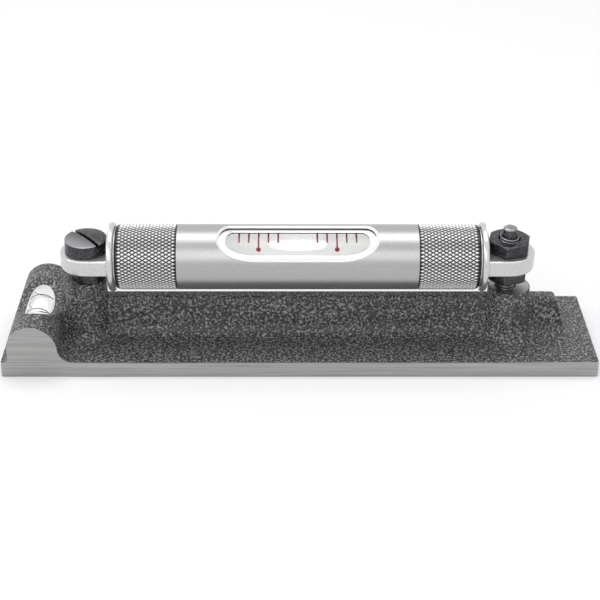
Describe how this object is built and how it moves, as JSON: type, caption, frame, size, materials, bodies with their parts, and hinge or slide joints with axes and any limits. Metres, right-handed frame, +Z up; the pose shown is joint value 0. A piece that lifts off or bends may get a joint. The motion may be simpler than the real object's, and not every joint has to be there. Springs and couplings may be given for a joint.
{
  "type": "machinist level",
  "caption": "Machinist's bench level: tilting tubular main vial with knurled turning cover above a ribbed iron sole, cross vial in a hump at one end",
  "frame": {"origin": "middle of the ground bottom, on the surface the level stands on", "axes": "+X along the base away from the cross vial, -Y the front that the window leans to, +Z up"},
  "size_m": [0.1524, 0.0324, 0.0356],
  "materials": {
    "casting": "black wrinkle paint over cast iron, ground on the sides and sole",
    "black_steel": "blackened steel with a light oily sheen",
    "satin_plate": "satin nickel plate over brass",
    "clear_glass": "clear polished glass",
    "spirit": "clear liquid",
    "bubble_air": "air bubble",
    "white_packing": "matt white plaster",
    "plug_brass": "dull turned brass"
  },
  "bodies": {
    "base": {"base_casting": "casting", "pivot_screw": "black_steel", "pivot_seat": "black_steel", "adjusting_stud": "black_steel", "cross_vial_glass": "clear_glass", "cross_vial_spirit": "spirit", "cross_vial_bed": "white_packing", "cross_vial_plug": "plug_brass"},
    "tube": {"inner_tube": "satin_plate", "left_end_cap": "satin_plate", "right_end_cap": "satin_plate", "main_vial_glass": "clear_glass", "main_vial_spirit": "spirit", "main_vial_bed": "white_packing", "left_vial_plug": "white_packing", "right_vial_plug": "white_packing"},
    "cover": {"cover_sleeve": "satin_plate"},
    "top_nut_body": {"top_nut": "black_steel"},
    "lower_nut_body": {"lower_nut": "black_steel"},
    "main_bubble_body": {"main_bubble": "bubble_air"},
    "cross_bubble_body": {"cross_bubble": "bubble_air"}
  },
  "joints": [
    {"name": "tube_tilt", "type": "hinge", "parent": "base", "child": "tube", "pos_m": [-0.0544, 0, 0.02605], "axis": [0, -1, 0], "range_deg": [-0.43, 0.43]},
    {"name": "top_nut_turn", "type": "hinge", "parent": "tube", "child": "top_nut_body", "pos_m": [0.0531, 0, 0.02995], "axis": [0, 0, 1], "range_deg": [-380, 380]},
    {"name": "lower_nut_turn", "type": "hinge", "parent": "tube", "child": "lower_nut_body", "pos_m": [0.0531, 0, 0.02215], "axis": [0, 0, 1], "range_deg": [-380, 380]},
    {"name": "cover_turn", "type": "hinge", "parent": "tube", "child": "cover", "pos_m": [-0.00065, 0, 0.02605], "axis": [1, 0, 0], "continuous": true},
    {"name": "main_bubble_slide", "type": "slide", "parent": "tube", "child": "main_bubble_body", "axis": [1, 0, 0], "range_m": [-0.012, 0.012], "stiffness_N_per_m": 0.05},
    {"name": "cross_bubble_slide", "type": "slide", "parent": "base", "child": "cross_bubble_body", "axis": [0, 1, 0], "range_m": [-0.0045, 0.0045], "stiffness_N_per_m": 0.05}
  ],
  "couplings": [
    {"joint": "top_nut_turn", "follows": "tube_tilt", "ratio": 850.94},
    {"joint": "lower_nut_turn", "follows": "tube_tilt", "ratio": 850.94}
  ]
}
